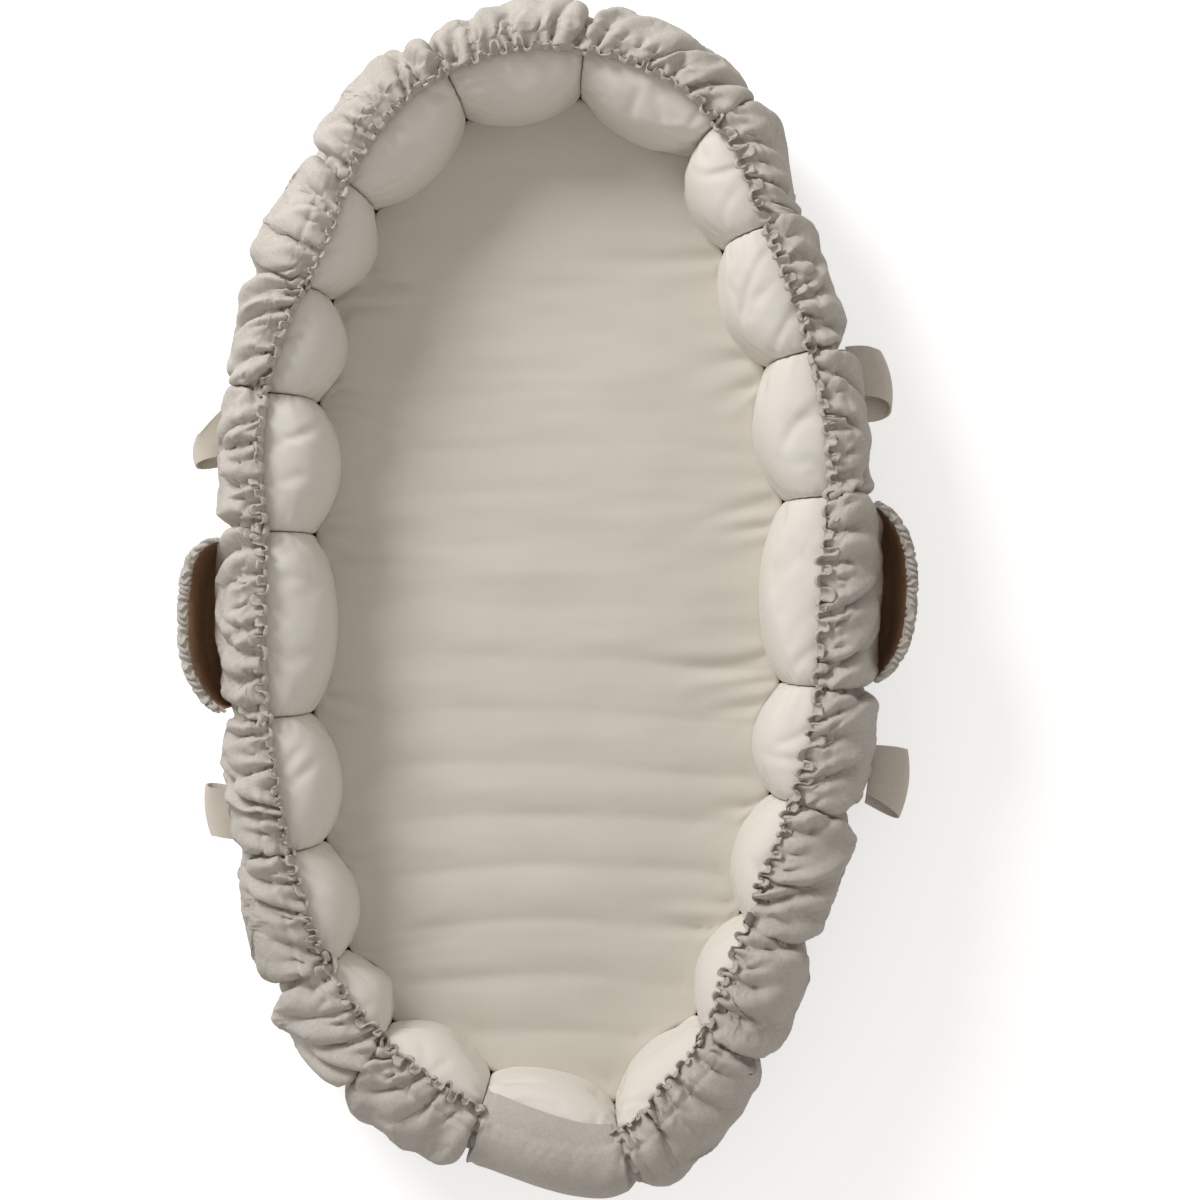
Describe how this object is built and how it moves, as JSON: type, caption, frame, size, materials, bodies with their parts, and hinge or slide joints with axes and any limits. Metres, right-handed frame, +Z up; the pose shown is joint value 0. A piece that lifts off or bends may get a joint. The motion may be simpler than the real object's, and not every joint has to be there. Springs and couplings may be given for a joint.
{
  "type": "infant lounger",
  "caption": "Oval padded baby nest: a ring of stuffed pillows round a lift-out mattress, in a linen cover gathered on elastic, with side pockets and tape loops.",
  "frame": {"origin": "the middle of the base panel's flat underside, where it rests on the floor", "axes": "+X across the nest to its right side seen from the foot, +Y along it towards the head end, +Z up from the floor"},
  "size_m": [0.5963, 0.9613, 0.1435],
  "materials": {
    "cover_linen": "greige linen and cotton canvas, plain weave, matt",
    "pocket_linen": "the same linen, darker inside the pockets, matt",
    "pillow_cotton": "ivory cotton poplin, matt",
    "mattress_cotton": "cream cotton sateen, softly rippled, matt",
    "filling": "needled wadding",
    "webbing_tape": "herringbone cotton tape",
    "elastic": "braided elastic"
  },
  "bodies": {
    "nest": {"base_panel": "cover_linen", "liner_floor": "pillow_cotton", "bumper_pillow_01": "pillow_cotton", "bumper_pillow_02": "pillow_cotton", "bumper_pillow_03": "pillow_cotton", "bumper_pillow_04": "pillow_cotton", "bumper_pillow_05": "pillow_cotton", "bumper_pillow_06": "pillow_cotton", "bumper_pillow_07": "pillow_cotton", "bumper_pillow_08": "pillow_cotton", "bumper_pillow_09": "pillow_cotton", "bumper_pillow_10": "pillow_cotton", "bumper_pillow_11": "pillow_cotton", "bumper_pillow_12": "pillow_cotton", "bumper_pillow_13": "pillow_cotton", "bumper_pillow_14": "pillow_cotton", "bumper_pillow_15": "pillow_cotton", "bumper_pillow_16": "pillow_cotton", "bumper_pillow_17": "pillow_cotton", "bumper_pillow_18": "pillow_cotton", "bumper_pillow_19": "pillow_cotton", "bumper_pillow_20": "pillow_cotton", "outer_cover": "cover_linen", "hem_casing": "cover_linen", "hem_elastic": "elastic", "foot_facing": "cover_linen", "side_pocket_right": "pocket_linen", "pocket_casing_right": "cover_linen", "pocket_elastic_right": "elastic", "side_pocket_left": "pocket_linen", "pocket_casing_left": "cover_linen", "pocket_elastic_left": "elastic", "tape_loop_right_head": "webbing_tape", "tape_loop_right_foot": "webbing_tape", "tape_loop_left_foot": "webbing_tape", "tape_loop_left_head": "webbing_tape"},
    "mattress": {"mattress_sleeve": "mattress_cotton", "mattress_core": "filling"}
  },
  "joints": [
    {"name": "mattress_lift", "type": "slide", "parent": "nest", "child": "mattress", "axis": [0, 0, 1], "range_m": [0, 0.2]}
  ]
}
